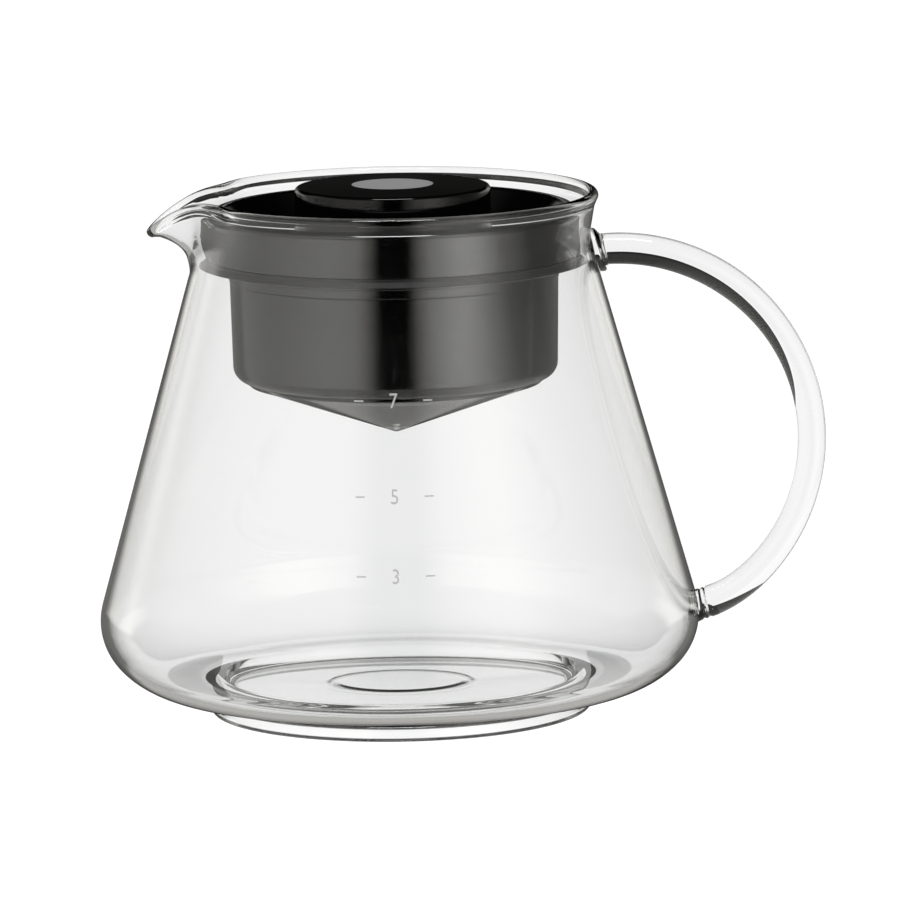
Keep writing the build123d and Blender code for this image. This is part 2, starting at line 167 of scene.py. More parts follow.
# ---------------------------------------------------------------- drawing and turning
class Outline:
    """A line drawn in the r-z plane of a new bmesh, to be turned about Z."""

    def __init__(self, r, z):
        self.mesh = bmesh.new()
        self.tip = self.mesh.verts.new((r * MM, 0, z * MM))

    def line(self, r, z, runs=1):
        start, end = self.tip.co.copy(), Vector((r * MM, 0, z * MM))
        for run in range(1, runs + 1):
            made = bmesh.ops.extrude_vert_indiv(self.mesh, verts=[self.tip])
            self.tip = made["verts"][0]
            self.tip.co = start.lerp(end, run / runs)

    def arc(self, centre, turn, steps):
        """Carries the tip round a centre, positive from +r towards +z."""
        made = bmesh.ops.spin(
            self.mesh, geom=[self.tip], cent=(centre[0] * MM, 0, centre[1] * MM),
            axis=(0, -1, 0), angle=radians(turn), steps=steps,
        )
        self.tip = made["geom_last"][0]


def closed_outline(corners):
    """Closed wire in the r-z plane. Each corner is r, z and the radius of its round."""
    mesh = bmesh.new()
    points = [mesh.verts.new((r * MM, 0, z * MM)) for r, z, soft in corners]
    for point, following in zip(points, points[1:] + points[:1]):
        mesh.edges.new((point, following))
    for i, (r, z, soft) in enumerate(corners):
        if soft:
            before = Vector(corners[i - 1][:2]) - Vector((r, z))
            after = Vector(corners[(i + 1) % len(corners)][:2]) - Vector((r, z))
            cut = soft / tan(before.angle(after) / 2)
            bmesh.ops.bevel(
                mesh, geom=[points[i]], offset=cut * MM, offset_type="OFFSET",
                affect="VERTICES", segments=7, profile=0.5, material=-1,
            )
    return mesh


def turn(mesh, steps=ROUND_STEPS):
    """Turns an outline into a closed solid about Z."""
    bmesh.ops.spin(
        mesh, geom=mesh.verts[:] + mesh.edges[:], cent=(0, 0, 0), axis=(0, 0, 1),
        angle=2 * pi, steps=steps, use_merge=True,
    )
    bmesh.ops.remove_doubles(mesh, verts=mesh.verts[:], dist=0.002 * MM)
    bmesh.ops.recalc_face_normals(mesh, faces=mesh.faces[:])
    return mesh


def finished(name, mesh, finish, body, slot, *nodes):
    """Makes a piece of the object, with crisp hard edges, hangs it on its body's empty and hides the CAD
    nodes that it stands for.
    """
    for face in mesh.faces:
        face.smooth = True
    for edge in mesh.edges:
        edge.smooth = edge.calc_face_angle(0) < CREASE
    piece = linked(name, mesh)
    even = piece.modifiers.new("even_shade", "WEIGHTED_NORMAL")
    even.keep_sharp = True
    piece.data.materials.append(finish)
    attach(piece, body)
    if nodes:
        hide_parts(*nodes)
    return piece


# ---------------------------------------------------------------- finishes
class Wire:
    """A shader socket that maths can be written on."""

    def __init__(self, tree, socket):
        self.tree = tree
        self.socket = socket

    def maths(self, operation, first, second):
        node = self.tree.nodes.new("ShaderNodeMath")
        node.operation = operation
        for socket, value in zip(node.inputs, (first, second)):
            if isinstance(value, Wire):
                self.tree.links.new(value.socket, socket)
            else:
                socket.default_value = value
        return Wire(self.tree, node.outputs[0])

    def __add__(self, other):
        return self.maths("ADD", self, other)

    __radd__ = __add__

    def __sub__(self, other):
        return self.maths("SUBTRACT", self, other)

    def __rsub__(self, other):
        return self.maths("SUBTRACT", other, self)

    def __mul__(self, other):
        return self.maths("MULTIPLY", self, other)

    __rmul__ = __mul__

    def at_most(self, other):
        return self.maths("MINIMUM", self, other)

    def unsigned(self):
        return self.maths("ABSOLUTE", self, 0.0)


class Shader:
    """Nodes of one material or of the world."""

    def __init__(self, owner):
        self.owner = owner
        owner.use_nodes = True
        self.tree = owner.node_tree
        self.tree.nodes.clear()

    def node(self, kind, settings, sockets):
        made = self.tree.nodes.new(kind)
        for name, value in settings.items():
            if name == "stops":
                ramp = made.color_ramp.elements
                while len(ramp) < len(value):
                    ramp.new(1.0)
                for stop, (place, colour) in zip(ramp, value):
                    stop.position = place
                    stop.color = colour
            else:
                setattr(made, name, value)
        for name, value in sockets.items():
            if isinstance(value, Wire):
                self.tree.links.new(value.socket, made.inputs[name])
            else:
                made.inputs[name].default_value = value
        return made

    def wire(self, node, output=0):
        return Wire(self.tree, node.outputs[output])

    def mixed(self, first, second, share):
        """Mix Shader of two shader nodes, by a share of the second."""
        mix = self.node("ShaderNodeMixShader", {}, {"Fac": share})
        self.tree.links.new(first.outputs[0], mix.inputs[1])
        self.tree.links.new(second.outputs[0], mix.inputs[2])
        return mix

    def end(self, kind, node):
        last = self.tree.nodes.new(kind)
        self.tree.links.new(node.outputs[0], last.inputs["Surface"])
        return self.owner


def grey(level):
    return (level, level, level, 1.0)


def on_object(shader, scale):
    """The piece's own coordinates, in periods per metre."""
    place = shader.node("ShaderNodeTexCoord", {}, {})
    mapping = shader.node("ShaderNodeMapping", {}, {"Vector": shader.wire(place, "Object")})
    mapping.inputs["Scale"].default_value = scale
    return shader.wire(mapping)


def noise(shader, scale, detail=2.0):
    return shader.wire(shader.node(
        "ShaderNodeTexNoise", {},
        {"Vector": on_object(shader, scale), "Scale": 1.0, "Detail": detail, "Roughness": 0.5},
    ))


def bump(shader, height, depth):
    """Bump of a depth in millimetres."""
    return shader.wire(shader.node(
        "ShaderNodeBump", {}, {"Height": height, "Distance": depth * MM, "Strength": 1.0},
    ))


def see_through_shadow(shader, solid, tint):
    """Lets lamp light pass, tinted, where a plain ray-traced shadow would be black."""
    rays = shader.node("ShaderNodeLightPath", {}, {})
    clear = shader.node("ShaderNodeBsdfTransparent", {}, {"Color": tint})
    return shader.mixed(solid, clear, shader.wire(rays, "Is Shadow Ray"))


def blown_glass(name):
    shader = Shader(bpy.data.materials.new(name))
    ripple = noise(shader, (28, 28, 10), detail=1.0)
    glass = shader.node("ShaderNodeBsdfPrincipled", {}, {
        "Base Color": (0.985, 0.99, 0.988, 1),
        "Roughness": 0.0,
        "IOR": 1.47,
        "Transmission Weight": 1.0,
        "Normal": bump(shader, ripple, 0.12),
    })
    return shader.end("ShaderNodeOutputMaterial", see_through_shadow(shader, glass, grey(0.92)))


def moulded_black(name, roughness, gloss):
    shader = Shader(bpy.data.materials.new(name))
    grain = noise(shader, (900, 900, 900), detail=3.0)
    sweep = noise(shader, (60, 60, 60))
    plastic = shader.node("ShaderNodeBsdfPrincipled", {}, {
        "Base Color": grey(0.002),
        "Roughness": roughness + 0.05 * (sweep - 0.5),
        "IOR": gloss,
        "Normal": bump(shader, grain, 0.0015),
    })
    return shader.end("ShaderNodeOutputMaterial", plastic)


def smoked_clear(name):
    shader = Shader(bpy.data.materials.new(name))
    sweep = noise(shader, (80, 80, 80))
    plastic = shader.node("ShaderNodeBsdfPrincipled", {}, {
        "Base Color": grey(0.66),
        "Roughness": 0.04 + 0.04 * sweep,
        "IOR": 1.49,
        "Transmission Weight": 1.0,
    })
    return shader.end("ShaderNodeOutputMaterial", see_through_shadow(shader, plastic, grey(0.4)))


def silicone(name):
    shader = Shader(bpy.data.materials.new(name))
    grain = noise(shader, (1500, 1500, 1500), detail=3.0)
    rubber = shader.node("ShaderNodeBsdfPrincipled", {}, {
        "Base Color": grey(0.03),
        "Roughness": 0.42 + 0.12 * grain,
        "IOR": 1.43,
        "Normal": bump(shader, grain, 0.01),
    })
    return shader.end("ShaderNodeOutputMaterial", rubber)


def plain_steel(name):
    shader = Shader(bpy.data.materials.new(name))
    turned_marks = noise(shader, (300, 300, 4000), detail=3.0)
    steel = shader.node("ShaderNodeBsdfPrincipled", {}, {
        "Base Color": (0.56, 0.56, 0.57, 1),
        "Metallic": 1.0,
        "Roughness": 0.25 + 0.2 * turned_marks,
    })
    return shader.end("ShaderNodeOutputMaterial", steel)


def white_ink(name):
    shader = Shader(bpy.data.materials.new(name))
    speck = noise(shader, (2500, 2500, 2500), detail=2.0)
    ink = shader.node("ShaderNodeBsdfPrincipled", {}, {
        "Base Color": grey(0.86),
        "Roughness": 0.5 + 0.1 * speck,
        "Alpha": 0.95,
    })
    return shader.end("ShaderNodeOutputMaterial", ink)


glass_finish = blown_glass("borosilicate")
lid_finish = moulded_black("glossy_black_moulding", 0.11, 1.85)
knob_finish = moulded_black("polished_black_moulding", 0.05, 1.42)
cone_finish = smoked_clear("smoked_plastic")
seal_finish = silicone("seal_silicone")
steel_finish = plain_steel("screw_steel")
ink_finish = white_ink("printed_marks")


# ---------------------------------------------------------------- carafe glass
def underside(pen):
    """Raised disc, bottom, foot ring, and the round up to the belly."""
    inner = FOOT_R - FOOT_WIDTH
    roof = floor_z - FLOOR_THICK
    pen.line(PUNT_R, roof + PUNT_RISE, runs=4)
    pen.arc((PUNT_R, roof + PUNT_RISE - punt_round), -punt_turn, 6)
    pen.arc((PUNT_R + PUNT_SLOPE, roof + punt_round), punt_turn, 6)
    pen.line(inner - FOOT_EDGE, roof, runs=6)
    pen.arc((inner - FOOT_EDGE, roof - FOOT_EDGE), -90, 5)
    pen.line(inner, FOOT_EDGE)
    pen.arc((inner + FOOT_EDGE, FOOT_EDGE), 90, 5)
    pen.line(FOOT_R - FOOT_EDGE, 0)
    pen.arc((FOOT_R - FOOT_EDGE, FOOT_EDGE), 90, 5)
    pen.line(FOOT_R, belly_z - FOOT_BLEND)
    pen.arc((FOOT_R + FOOT_BLEND, belly_z - FOOT_BLEND), -90, 6)


def inside_floor(pen):
    """Dip of the floor into the foot ring, and the raised disc from above."""
    step_in = STEP_R - (STEP_ROUND + STEP_FILLET) * sin(radians(STEP_TURN))
    pen.line(STEP_R, belly_in, runs=3)
    pen.arc((STEP_R, belly_in - STEP_ROUND), STEP_TURN, 12)
    pen.arc((step_in, floor_z + STEP_FILLET), -STEP_TURN, 12)
    pen.line(PUNT_R + PUNT_SLOPE, floor_z, runs=6)
    pen.arc((PUNT_R + PUNT_SLOPE, floor_z + punt_round), -punt_turn, 6)
    pen.arc((PUNT_R, floor_z + PUNT_RISE - punt_round), punt_turn, 6)
    pen.line(0, floor_z + PUNT_RISE, runs=4)


def side(pen, inset, rising):
    """Belly, shoulder, cone and waist, upwards on the outside or downwards on the inside."""
    belly_turn = 90 - BELLY_FROM
    shoulder_turn = BELLY_FROM + CONE_LEAN
    waist_turn = CONE_LEAN + FLARE_LEAN
    waist_low = polar(waist_centre, -(NECK_ROUND + inset), CONE_LEAN)
    waist_high = polar(waist_centre, -(NECK_ROUND + inset), -FLARE_LEAN)
    cone_low = polar(shoulder_centre, SHOULDER_ROUND - inset, CONE_LEAN)
    cone_high = (cone_r(FINE_FROM, inset), FINE_FROM)
    if rising:
        pen.line(belly_centre[0], belly_z + inset, runs=2)
        pen.arc(belly_centre, belly_turn, 12)
        pen.arc(shoulder_centre, shoulder_turn, 18)
        pen.line(*cone_high, runs=10)
        pen.line(*waist_low, runs=7)
        pen.arc(waist_centre, -waist_turn, 12)
    else:
        pen.line(*waist_high, runs=5)
        pen.arc(waist_centre, waist_turn, 12)
        pen.line(*cone_high, runs=7)
        pen.line(*cone_low, runs=10)
        pen.arc(shoulder_centre, -shoulder_turn, 18)
        pen.arc(belly_centre, -belly_turn, 12)


def rim_bead(pen):
    """Fire-rounded bead, with a soft run-in under it on the outside."""
    centre = (RIM_R - BEAD_ROUND, bead_z)
    run_in = bead_z - BEAD_RUN_IN * BEAD_ROUND
    pen.line(flare_r(run_in, 0), run_in, runs=5)
    pen.line(*polar(centre, BEAD_ROUND, BEAD_FROM), runs=2)
    pen.arc(centre, BEAD_TURN, 20)


def gather_meridians(mesh):
    """Crowds the meridians towards the spout, where the form is tightest."""
    for vert in mesh.verts:
        r = hypot(vert.co.x, vert.co.y)
        around = atan2(vert.co.y, -vert.co.x)
        around -= GATHER * sin(around)
        vert.co.x = -r * cos(around)
        vert.co.y = r * sin(around)


def bell(away, spread, power):
    """1 in the middle and 0 far away. A higher power has a flatter top."""
    return exp(-(abs(away) / spread) ** power)


def spout_wall(around, z):
    """Middle of the pulled wall, at an angle from the spout and a height before pulling."""
    angle = abs(degrees(around))
    share = max(0.0, (z - SPOUT_FROM) / (bead_z - SPOUT_FROM))
    lean = max(0.0, (share - THROAT) / (1 - THROAT)) ** 1.3
    pull = SPOUT_REACH * bell(angle, SPOUT_SPREAD, 1.8) * lean
    pinch = PINCH * bell(angle - PINCH_AT, PINCH_SPREAD, 2) * share ** 3
    drop = SPOUT_DROP * bell(angle, SPOUT_SAG, 1.55) * share ** 2.5
    r = wall_middle(z) + pull - pinch
    return Vector((-r * cos(around), r * sin(around), z - drop))


def plain_wall(around, z):
    r = wall_middle(z)
    return Vector((-r * cos(around), r * sin(around), z))


def outwards(wall, around, z):
    """Unit normal of a wall form, by small steps round it and up it."""
    turned, raised = 0.001, 0.05
    along = wall(around + turned, z) - wall(around - turned, z)
    up = wall(around, z + raised) - wall(around, z - raised)
    return up.cross(along).normalized()


def pull_spout(mesh):
    """Leans the neck's wall out into the spout and keeps its thickness."""
    for vert in mesh.verts:
        x, y, z = vert.co / MM
        if z > SPOUT_FROM:
            around = atan2(y, -x)
            depth = hypot(x, y) - wall_middle(z)
            plain = plain_wall(around, z) + depth * outwards(plain_wall, around, z)
            pulled = spout_wall(around, z) + depth * outwards(spout_wall, around, z)
            vert.co += (pulled - plain) * MM


def carafe_wall():
    """The blown body: its outline, outside and inside, turned, and the spout pulled from it."""
    pen = Outline(0, floor_z - FLOOR_THICK + PUNT_RISE)
    underside(pen)
    side(pen, 0, rising=True)
    rim_bead(pen)
    side(pen, WALL, rising=False)
    inside_floor(pen)
    mesh = turn(pen.mesh, GLASS_STEPS)
    gather_meridians(mesh)
    pull_spout(mesh)
    return mesh


# ---------------------------------------------------------------- handle
LOOP = (54.78, 66.2)        # centre of the loop in x and z
LOOP_R = 47.3
UPPER_END = 97.0            # degrees on the loop, from +X upwards
LOWER_END = -66.5
ROD_R = 3.85                # at the ends
ROD_THIN = 0.4              # less at the far side of the loop
THIN_AT = -5.0              # middle of that side, in degrees on the loop
THIN_SPREAD = 50.0
DISC_R = 5.45               # disc that the upper end is pressed into
DISC_LONG = 1.25
GROOVE_DEEP = 0.35          # two tooled grooves of the lower joint
GROOVE_WIDE = 0.35
GROOVES_AT = (0.8, 2.1)     # how far they lie from the carafe's wall
LOWER_LIFT = 1.45           # how much the rod straightens into the lower joint
LIFT_LONG = 7.0
UPPER_LEAN = 0.19           # how much an end leans to lie along the carafe's wall
LOWER_LEAN = 0.287
LEAN_LONG = 6.0
SINK = 0.9                  # how deep the ends sit in the carafe's wall
ROD_SIDES = 48
HANDLE_STEPS = 540


def from_joints(angle):
    """Distances along the loop from the carafe's wall at the upper and at the lower joint."""
    upper = radians(UPPER_END - angle) * LOOP_R - SINK
    lower = radians(angle - LOWER_END) * LOOP_R - SINK
    return max(0.0, upper), max(0.0, lower)


def rod_radius(angle):
    """Radius along the loop: thinner on the far side, pressed and grooved at the joints."""
    upper, lower = from_joints(angle)
    radius = ROD_R - ROD_THIN * bell(angle - THIN_AT, THIN_SPREAD, 4)
    radius += (DISC_R - radius) * bell(upper, DISC_LONG, 4)
    for place in GROOVES_AT:
        radius -= GROOVE_DEEP * bell(lower - place, GROOVE_WIDE, 2)
    return radius


def rod_core(angle):
    """Middle of the rod: the loop, straightened a little into the lower joint."""
    upper, lower = from_joints(angle)
    core = polar(LOOP, LOOP_R - LOWER_LIFT * bell(lower, LIFT_LONG, 1.2), angle)
    return Vector((core[0], 0, core[1]))


def rod_place(point):
    """Where a point of a plain loop of radius 1 ends up."""
    angle = degrees(atan2(point.z - LOOP[1], point.x - LOOP[0]))
    upper, lower = from_joints(angle)
    away = Vector((cos(radians(angle)), 0, sin(radians(angle))))
    along = Vector((sin(radians(angle)), 0, -cos(radians(angle))))
    spoke = point - Vector((LOOP[0], 0, LOOP[1])) - away * LOOP_R
    spoke *= rod_radius(angle)
    height = spoke.dot(away)
    slide = LOWER_LEAN * bell(lower, LEAN_LONG, 3) - UPPER_LEAN * bell(upper, LEAN_LONG, 3)
    return rod_core(angle) + spoke + along * height * slide


def handle_rod():
    """A plain loop of radius 1, swept round, then shaped point by point."""
    start = polar(LOOP, LOOP_R, UPPER_END)
    mesh = bmesh.new()
    ring = bmesh.ops.create_circle(mesh, segments=ROD_SIDES, radius=1.0 * MM)["verts"]
    for angle in (90, 90 - UPPER_END):
        across = Matrix.Rotation(radians(angle), 4, "Y")
        bmesh.ops.rotate(mesh, verts=ring, cent=(0, 0, 0), matrix=across)
    bmesh.ops.translate(mesh, verts=ring, vec=(start[0] * MM, 0, start[1] * MM))
    bmesh.ops.spin(
        mesh, geom=mesh.verts[:] + mesh.edges[:], cent=(LOOP[0] * MM, 0, LOOP[1] * MM),
        axis=(0, 1, 0), angle=radians(UPPER_END - LOWER_END), steps=HANDLE_STEPS,
    )
    for vert in mesh.verts:
        vert.co = rod_place(vert.co / MM) * MM
    bmesh.ops.holes_fill(mesh, edges=mesh.edges[:])
    bmesh.ops.recalc_face_normals(mesh, faces=mesh.faces[:])
    return mesh


def fused(first, second):
    """One closed skin round two overlapping solids."""
    host, guest = linked("host", first), linked("guest", second)
    join = host.modifiers.new("join", "BOOLEAN")
    join.operation = "UNION"
    join.solver = "MANIFOLD"
    join.object = guest
    bpy.context.view_layer.update()
    joined = host.evaluated_get(bpy.context.evaluated_depsgraph_get())
    whole = bpy.data.meshes.new_from_object(joined)
    mesh = bmesh.new()
    mesh.from_mesh(whole)
    for piece in (host, guest):
        bpy.data.objects.remove(piece)
    bpy.data.meshes.remove(whole)
    return mesh


def carafe():
    """The handle is fused to the carafe, so the two are one piece of glass."""
    mesh = fused(carafe_wall(), handle_rod())
    finished("carafe_blown", mesh, glass_finish, "carafe", "glass", "carafe_glass", "handle")


# ---------------------------------------------------------------- lid
LID_SHELL = 2.0             # wall of the moulded lid top
LIP_ROUND = 2.7             # outer round of its lip
CREST_WIDTH = 1.2
TROUGH_R = 33.0             # level bottom of the finger trough
TROUGH_ROUND = 2.0
SPIGOT_WALL = 3.0
SPIGOT_EDGE = 0.4
SKIRT_EDGES = (0.3, 0.4)    # inner and outer
KNOB_WALL = 2.0
KNOB_EDGE = 1.0
KNOB_FLAT_R = 10.0          # level disc in the middle of the knob's top
KNOB_FALL = 0.4             # the top falls by this much from the disc to the edge
SEAL_LIP = 0.9              # thickness of the wiper lip
COLLAR_PROUD = 0.15         # how far the retainer's collar stands out of the drum
COLLAR_EDGE = 0.3
COLLAR_ROUND = 0.5
RETAINER_FLANGE = 1.0
FLANGE_EDGE = 0.35
FIT = 0.1
DRUM_WALL = 1.8
DRUM_TAPER = 0.5            # less radius at the bottom than at the top
DRUM_CORNER = 3.7
DRUM_EDGE = 0.2
DRUM_REBATE = 1.0           # step at the top that goes into the retainer
DRUM_MOUTH = 34.5           # radius of the opening that holds the cone
CONE_RIM = 0.9              # thickness of the cone's flat rim
CONE_WALL = 1.6
CONE_EDGE = 0.3
TIP_R = 0.56                # blunt tip of the cone
TIP_RISE = 0.06
TIP_ROUND = 0.5

skirt_r, spigot_end, crest_z = size_of("lid_top")
knob_r, trough_z, knob_z = size_of("knob")
seal_r, seal_z, skirt_z = size_of("lid_seal")
flange_r, shoulder_z, seal_under = size_of("seal_retainer")
drum_r, drum_z, drum_top = size_of("drum")
cone_rim_r, cone_tip_z, cone_top = size_of("drip_cone")
plate_z = trough_z - LID_SHELL
spigot_r = drum_r - DRUM_TAPER - DRUM_WALL - FIT
drum_neck_r = drum_r - DRUM_REBATE


def lid_top():
    """Moulded cap with a finger trough, an outer skirt and the spigot that holds the drum."""
    dish_r = skirt_r - LIP_ROUND - CREST_WIDTH
    rise = (crest_z - trough_z) / (dish_r - TROUGH_R)
    under = LID_SHELL * sqrt(1 + rise ** 2)
    spigot_in = spigot_r - SPIGOT_WALL
    skirt_in = skirt_r - LID_SHELL
    mesh = turn(closed_outline([
        (0, plate_z, 0),
        (spigot_in, plate_z, 0),
        (spigot_in, spigot_end, SPIGOT_EDGE),
        (spigot_r, spigot_end, SPIGOT_EDGE),
        (spigot_r, trough_z + (spigot_r - TROUGH_R) * rise - under, 0),
        (skirt_in, trough_z + (skirt_in - TROUGH_R) * rise - under, 0),
        (skirt_in, skirt_z, SKIRT_EDGES[0]),
        (skirt_r, skirt_z, SKIRT_EDGES[1]),
        (skirt_r, crest_z, LIP_ROUND),
        (dish_r, crest_z, CREST_WIDTH * 1.5),
        (TROUGH_R, trough_z, TROUGH_ROUND),
        (0, trough_z, 0),
    ]))
    finished("lid_top_moulding", mesh, lid_finish, "lid", "lid_black", "lid_top")


def knob():
    """Hollow grip. The edge of its level disc is kept crisp."""
    under = knob_z - KNOB_WALL
    mesh = turn(closed_outline([
        (0, under, 0),
        (knob_r - KNOB_WALL, under, KNOB_EDGE),
        (knob_r - KNOB_WALL, trough_z, 0),
        (knob_r, trough_z, 0),
        (knob_r, knob_z - KNOB_FALL, KNOB_EDGE),
        (KNOB_FLAT_R, knob_z, 0),
        (0, knob_z, 0),
    ]))
    piece = finished("knob_moulding", mesh, knob_finish, "lid", "lid_black", "knob")
    points = piece.data.vertices
    on_disc = [abs(hypot(*point.co.xy) - KNOB_FLAT_R * MM) < 0.01 * MM for point in points]
    for edge in piece.data.edges:
        if all(on_disc[i] for i in edge.vertices):
            edge.use_edge_sharp = True


def lid_seal():
    """Silicone ring with a thin lip that reaches out to the glass."""
    lip_high = seal_z + SEAL_LIP
    mesh = turn(closed_outline([
        (drum_neck_r + FIT, seal_z, 0),
        (skirt_r - SEAL_LIP, seal_z, 0),
        (seal_r - SEAL_LIP / 2, seal_z, 0.2),
        (seal_r, seal_z + SEAL_LIP / 3, 0.15),
        (skirt_r + FIT, lip_high + SEAL_LIP / 2, 0),
        (skirt_r, skirt_z, 0),
        (drum_neck_r + FIT, skirt_z, 0),
    ]))
    finished("lid_seal_ring", mesh, seal_finish, "lid", "seal_silicone", "lid_seal")


def seal_retainer():
    """Collar under the seal, with a flange that clamps it."""
    collar_r = drum_r + COLLAR_PROUD
    bore = drum_neck_r + FIT
    flange_z = seal_under - RETAINER_FLANGE
    mesh = turn(closed_outline([
        (bore, shoulder_z, 0),
        (collar_r, shoulder_z, COLLAR_EDGE),
        (collar_r, flange_z, COLLAR_ROUND),
        (flange_r, flange_z, FLANGE_EDGE),
        (flange_r, seal_under, 0.1),
        (bore, seal_under, 0),
    ]))
    finished("seal_retainer_ring", mesh, lid_finish, "lid", "lid_black", "seal_retainer")


def drum():
    """Lower cylinder, open at the bottom for the cone."""
    low_r = drum_r - DRUM_TAPER
    bore = low_r - DRUM_WALL
    inside = drum_z + DRUM_WALL
    mesh = turn(closed_outline([
        (bore, drum_top, 0),
        (drum_neck_r, drum_top, 0),
        (drum_neck_r, shoulder_z, 0),
        (drum_r, shoulder_z, DRUM_EDGE),
        (low_r, drum_z, DRUM_CORNER),
        (DRUM_MOUTH, drum_z, 0),
        (DRUM_MOUTH, inside, 0),
        (bore, inside, DRUM_CORNER - DRUM_WALL),
    ]))
    finished("drum_moulding", mesh, lid_finish, "lid", "lid_black", "drum")


def drip_cone():
    """Clear cone with a sleeve that fits into the drum's mouth."""
    sleeve_r = DRUM_MOUTH - FIT
    sleeve_in = sleeve_r - CONE_WALL
    base_z = drum_z - CONE_RIM
    fall = (base_z - cone_tip_z) / cone_rim_r
    inner_tip = cone_tip_z + CONE_WALL * sqrt(1 + fall ** 2)
    mesh = turn(closed_outline([
        (0, cone_tip_z, 0),
        (TIP_R, cone_tip_z + TIP_RISE, TIP_ROUND),
        (cone_rim_r, base_z, CONE_EDGE),
        (cone_rim_r, drum_z, 0.1),
        (sleeve_r, drum_z, 0),
        (sleeve_r, cone_top, 0.2),
        (sleeve_in, cone_top, 0.2),
        (sleeve_in, inner_tip + sleeve_in * fall, 1.0),
        (0, inner_tip, 0),
    ]))
    finished("drip_cone_clear", mesh, cone_finish, "lid", "cone_smoke", "drip_cone")


# ---------------------------------------------------------------- printed marks
MARKS = (("7", 85.3), ("5", 63.0), ("3", 44.5))     # digit, and height on the carafe
DIGIT_HIGH = 3.6
DIGIT_NARROW = 0.85         # the digits are narrower than the typeface
DASH_LONG = 2.2
DASH_THICK = 0.35
DASH_AWAY = 8.3             # centre of a dash from the digit's middle
MARK_LEFT = 0.4             # marks stand a little left of the axis
INK_THICK = 0.03


def digit(text):
    """One digit as a flat bmesh in millimetres, centred."""
    letter = bpy.data.curves.new("digit", "FONT")
    letter.body = text
    letter.align_x = "CENTER"
    letter.resolution_u = 8
    holder = bpy.data.objects.new("digit", letter)
    bpy.context.scene.collection.objects.link(holder)
    bpy.context.view_layer.update()
    shape = bpy.data.meshes.new_from_object(holder)
    bpy.data.objects.remove(holder)
    mesh = bmesh.new()
    mesh.from_mesh(shape)
    bpy.data.meshes.remove(shape)
    low = min(v.co.y for v in mesh.verts)
    high = max(v.co.y for v in mesh.verts)
    size = DIGIT_HIGH / (high - low)
    for vert in mesh.verts:
        across = vert.co.x * size * DIGIT_NARROW
        vert.co = Vector((across, (vert.co.y - low) * size - DIGIT_HIGH / 2, 0))
    return mesh


def add_dash(mesh, x):
    made = bmesh.ops.create_grid(mesh, x_segments=6, y_segments=1, size=0.5)["verts"]
    bmesh.ops.scale(mesh, verts=made, vec=(DASH_LONG, DASH_THICK, 1))
    bmesh.ops.translate(mesh, verts=made, vec=(x, 0, 0))


def printed_mark(text, height):
    """A digit between two dashes, laid on the carafe's cone."""
    mesh = digit(text)
    add_dash(mesh, -DASH_AWAY)
    add_dash(mesh, DASH_AWAY)
    for vert in mesh.verts:
        across, up, off = vert.co
        z = height + up * cos(radians(CONE_LEAN))
        r = cone_r(z, 0) + INK_THICK
        around = (across - MARK_LEFT) / r
        vert.co = Vector((r * sin(around), -r * cos(around), z)) * MM
    bmesh.ops.recalc_face_normals(mesh, faces=mesh.faces[:])
    if sum(face.normal.y * face.calc_area() for face in mesh.faces) > 0:
        bmesh.ops.reverse_faces(mesh, faces=mesh.faces[:])
    finished("mark_" + text, mesh, ink_finish, "carafe", "glass")


carafe()
lid_top()
knob()
lid_seal()
seal_retainer()
drum()
drip_cone()
for text, height in MARKS:
    printed_mark(text, height)

# CAD pieces inside the lid, shown as they are
INSIDE = {"knob_screws": steel_finish, "knob_washers": steel_finish, "drum_ring": seal_finish}
for node, finish in INSIDE.items():
    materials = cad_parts[node].data.materials
    materials.clear()
    materials.append(finish)


# ---------------------------------------------------------------- studio
FLOOR_R = 2.5
FLOOR_GLOW = 1.12           # as glass shows it
FLOOR_GLARE = 0.13          # more than that, as the camera sees it
FLOOR_SHARE = 0.8           # of that glow, against the cloth that takes the shadow
FLOOR_UNDER = 0.1           # how far the floor lies below the foot, in millimetres
TENT_BRIGHT = 1.5           # brightest part of the light tent
TENT_COLOUR = (1.0, 0.985, 0.945, 1)
TENT_TOP = (0.5, 0.75)      # direction heights between which the tent ends
TENT_ROOF = 0.1             # share of the light that is left above
TENT_FOOT = (-0.5, -0.44)   # direction heights between which it gives way to the plain cloth below
CLOTH_RISE = 0.1            # how much higher that cloth reaches behind the carafe than in front
TENT_CLOTH = 0.3            # how bright it is, as a share of the brightest
HORIZON = (-0.004, 0.006)   # direction heights between which the white backdrop ends
BACKDROP_TOP = 0.02         # share of the light that is left above
TURNED_LEFT = 0.8           # how much higher it reaches for light that is bent to the left
# tent round the carafe: degrees from the front, positive towards the handle, and share of the brightest
TENT_STOPS = (
    (-180, 0.01), (-176, 0.01), (-172, 0.10), (-138, 0.12), (-128, 0.36), (-90, 0.40), (-60, 0.54),
    (-38, 0.62), (-22, 0.54), (-9, 0.0), (9, 0.0), (22, 0.58), (40, 1.0), (50, 1.0), (70, 0.38),
    (90, 0.12), (108, 0.10), (130, 0.16), (150, 0.14), (172, 0.06), (176, 0.01), (180, 0.01),
)
BEHIND = (118, 132)         # degrees from the front between which a white wall behind begins
BEHIND_GAP = (156, 167)     # and where it leaves the middle open
BEHIND_FOOT = (-0.09, -0.03)    # direction heights between which it begins
BEHIND_TOP = (0.14, 0.28)   # and where it and the tent behind the carafe end
BEHIND_BRIGHT = 0.45
CARD_AWAY = 0.3             # low white card behind, which only mirrored light finds
CARD_WIDE = 0.12
CARD_HIGH = 0.1
CARD_BRIGHT = 0.8
LAMPS_AWAY = 1.4
LAMPS_MEET = Vector((0, 0, 0.07))   # the point that the lamps face


